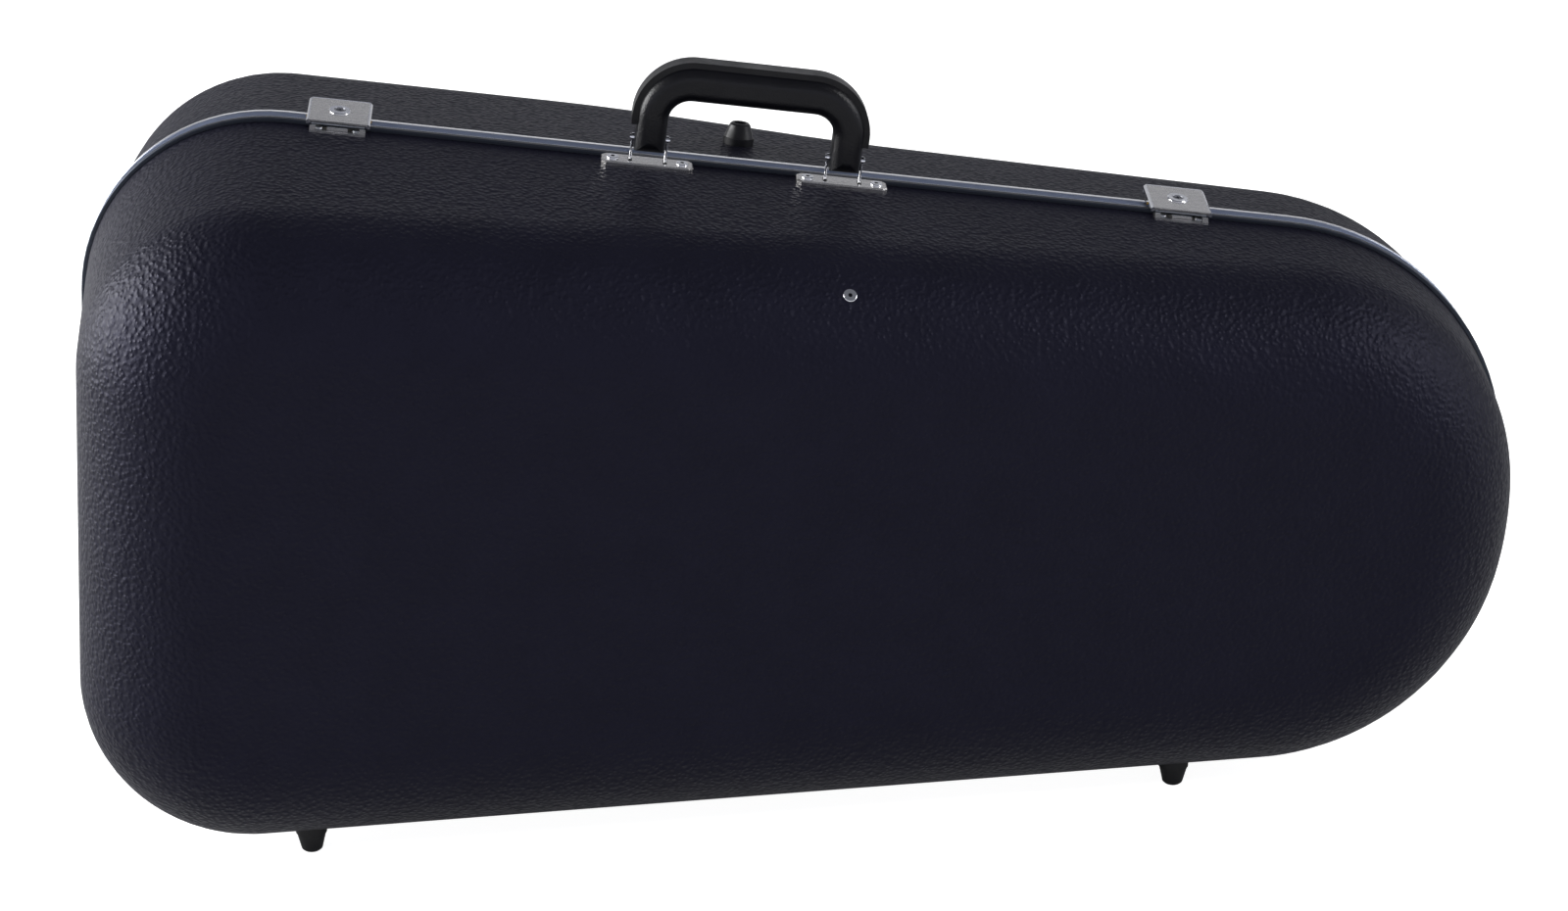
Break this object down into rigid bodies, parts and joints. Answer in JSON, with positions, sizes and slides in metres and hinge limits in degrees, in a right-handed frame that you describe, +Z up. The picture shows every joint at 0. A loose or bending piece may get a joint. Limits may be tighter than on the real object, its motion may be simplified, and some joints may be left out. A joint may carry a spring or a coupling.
{
  "type": "baritone horn case",
  "caption": "Hard moulded carrying case for a baritone horn: two drafted shells hinged along the bottom edge, aluminium valance, draw latches, swinging handle and rubber feet.",
  "frame": {"origin": "middle of the footprint of the standing case, on the floor under its feet", "axes": "+X along the length to the narrow end, +Y from the front shell to the lid shell, +Z up to the handle"},
  "size_m": [0.8085, 0.3408, 0.4157],
  "materials": {
    "shell": "leather grained",
    "valance": "satin",
    "lining": "short plush",
    "padding": "short plush over foam",
    "board": "short plush glued over board",
    "webbing": "woven",
    "tab": "smooth",
    "grip": "fine leather grain",
    "plated": "satin nickel",
    "chromed": "polished",
    "steel": "zinc plated",
    "brass": "satin",
    "rubber": "moulded"
  },
  "bodies": {
    "case_front": {"front_shell": "shell", "front_valance": "valance", "front_lining": "lining", "bell_cradle": "padding", "bow_cradle": "padding", "accessory_tray": "board", "mouthpiece_block": "padding", "flap_pin": "steel", "instrument_strap": "webbing", "strap_rivet": "chromed", "strap_washer": "steel", "bell_handle_plate": "plated", "bow_handle_plate": "plated", "handle_plate_rivets": "chromed", "bell_keeper": "plated", "bow_keeper": "plated", "keeper_rivets": "steel", "bell_hinge_front_leaf": "plated", "bow_hinge_front_leaf": "plated", "bell_hinge_pin": "steel", "bow_hinge_pin": "steel", "front_hinge_rivets": "steel", "front_feet": "rubber", "front_foot_screws": "steel"},
    "lid": {"lid_shell": "shell", "lid_valance": "valance", "lid_lining": "lining", "lid_pad": "padding", "bell_latch_base": "plated", "bow_latch_base": "plated", "bell_latch_pivot": "steel", "bow_latch_pivot": "steel", "latch_base_rivets": "steel", "bell_hinge_lid_leaf": "plated", "bow_hinge_lid_leaf": "plated", "lid_hinge_rivets": "steel", "lid_feet": "rubber", "lid_foot_screws": "steel", "handle_rest": "rubber", "handle_rest_screw": "steel"},
    "bell_lever": {"bell_latch_lever": "chromed", "bell_latch_cover": "plated", "bell_lock_ring": "chromed", "bell_claw_pin": "brass"},
    "bell_claw": {"bell_latch_claw": "steel"},
    "bell_lock": {"bell_lock_barrel": "plated"},
    "bell_stirrup": {"bell_stirrup": "chromed"},
    "bow_lever": {"bow_latch_lever": "chromed", "bow_latch_cover": "plated", "bow_lock_ring": "chromed", "bow_claw_pin": "brass"},
    "bow_claw": {"bow_latch_claw": "steel"},
    "bow_lock": {"bow_lock_barrel": "plated"},
    "bow_stirrup": {"bow_stirrup": "chromed"},
    "handle": {"handle": "grip", "handle_pins": "chromed"},
    "accessory_flap": {"accessory_flap": "board", "flap_tab": "tab"}
  },
  "joints": [
    {"name": "lid_hinge", "type": "hinge", "parent": "case_front", "child": "lid", "pos_m": [-0.01464, 0.01462, 0.00493], "axis": [-1, 0, -0.0083], "range_deg": [0, 115]},
    {"name": "bell_latch_lever", "type": "hinge", "parent": "lid", "child": "bell_lever", "pos_m": [-0.25024, 0.03192, 0.38178], "axis": [-0.9927, 0, 0.1205], "range_deg": [0, 90]},
    {"name": "bell_latch_claw", "type": "hinge", "parent": "bell_lever", "child": "bell_claw", "pos_m": [-0.25043, 0.01462, 0.38024], "axis": [-0.9927, 0, 0.1205], "range_deg": [-32, 0]},
    {"name": "bell_lock", "type": "hinge", "parent": "bell_lever", "child": "bell_lock", "pos_m": [-0.25, 0.01912, 0.38372], "axis": [0.1201, -0.0815, 0.9894], "range_deg": [0, 90]},
    {"name": "bow_latch_lever", "type": "hinge", "parent": "lid", "child": "bow_lever", "pos_m": [0.21134, 0.03192, 0.32574], "axis": [-0.9927, 0, 0.1205], "range_deg": [0, 90]},
    {"name": "bow_latch_claw", "type": "hinge", "parent": "bow_lever", "child": "bow_claw", "pos_m": [0.21115, 0.01462, 0.3242], "axis": [-0.9927, 0, 0.1205], "range_deg": [-32, 0]},
    {"name": "bow_lock", "type": "hinge", "parent": "bow_lever", "child": "bow_lock", "pos_m": [0.21158, 0.01912, 0.32768], "axis": [0.1201, -0.0815, 0.9894], "range_deg": [0, 90]},
    {"name": "bell_stirrup", "type": "hinge", "parent": "case_front", "child": "bell_stirrup", "pos_m": [-0.08401, 0.00086, 0.35733], "axis": [0.9927, 0, -0.1205], "range_deg": [-30, 30]},
    {"name": "bow_stirrup", "type": "hinge", "parent": "case_front", "child": "bow_stirrup", "pos_m": [0.02221, 0.00086, 0.34444], "axis": [0.9927, 0, -0.1205], "range_deg": [-30, 30]},
    {"name": "handle_swing", "type": "hinge", "parent": "bell_stirrup", "child": "handle", "pos_m": [-0.08226, 0.00086, 0.37173], "axis": [0.9927, 0, -0.1205], "range_deg": [-45, 45]},
    {"name": "accessory_flap", "type": "hinge", "parent": "case_front", "child": "accessory_flap", "pos_m": [0.0027, -0.01158, 0.02898], "axis": [-1, 0, -0.0083], "range_deg": [0, 75]}
  ],
  "couplings": [
    {"joint": "bell_latch_claw", "follows": "bell_latch_lever", "ratio": -0.35},
    {"joint": "bow_latch_claw", "follows": "bow_latch_lever", "ratio": -0.35},
    {"joint": "bow_stirrup", "follows": "bell_stirrup", "ratio": 1}
  ]
}
